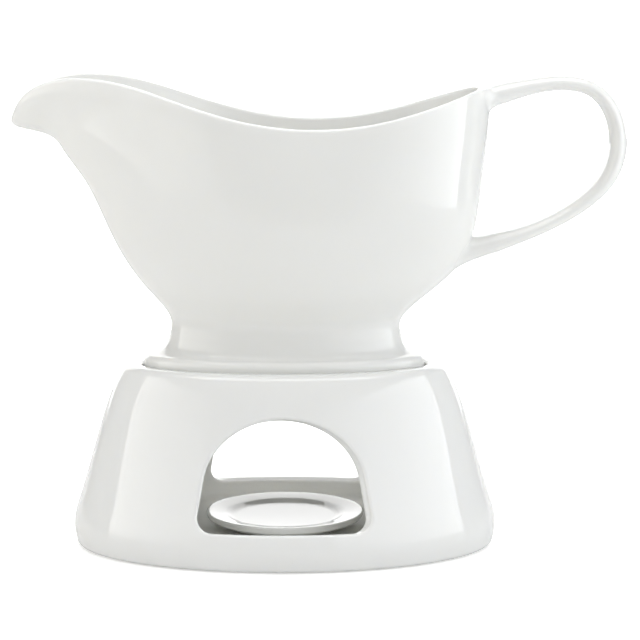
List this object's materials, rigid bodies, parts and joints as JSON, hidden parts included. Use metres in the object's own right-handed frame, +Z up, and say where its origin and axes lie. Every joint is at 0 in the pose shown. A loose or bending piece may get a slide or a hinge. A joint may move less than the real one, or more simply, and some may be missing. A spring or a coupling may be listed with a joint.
{
  "type": "gravy boat on warming stand",
  "caption": "Oval footed gravy boat with a long spout and loop handle, standing in an arched-window warming stand over a tea-light dish.",
  "frame": {"origin": "centre of the stand's oval base, on the table", "axes": "+Z up; +X along the long axis toward the handle, so the spout points to -X"},
  "size_m": [0.2449, 0.1092, 0.1893],
  "materials": {
    "stand_glaze": "gloss",
    "dish_glaze": "gloss",
    "boat_glaze": "gloss",
    "handle_glaze": "gloss"
  },
  "bodies": {
    "stand": {"warming_stand": "stand_glaze"},
    "boat": {"boat_body": "boat_glaze", "boat_handle": "handle_glaze"},
    "dish": {"tealight_dish": "dish_glaze"}
  },
  "joints": [
    {"name": "boat_lift", "type": "slide", "parent": "stand", "child": "boat", "axis": [0, 0, 1], "range_m": [0, 0.12]},
    {"name": "dish_lift", "type": "slide", "parent": "stand", "child": "dish", "axis": [0, 0, 1], "range_m": [0, 0.03]}
  ]
}
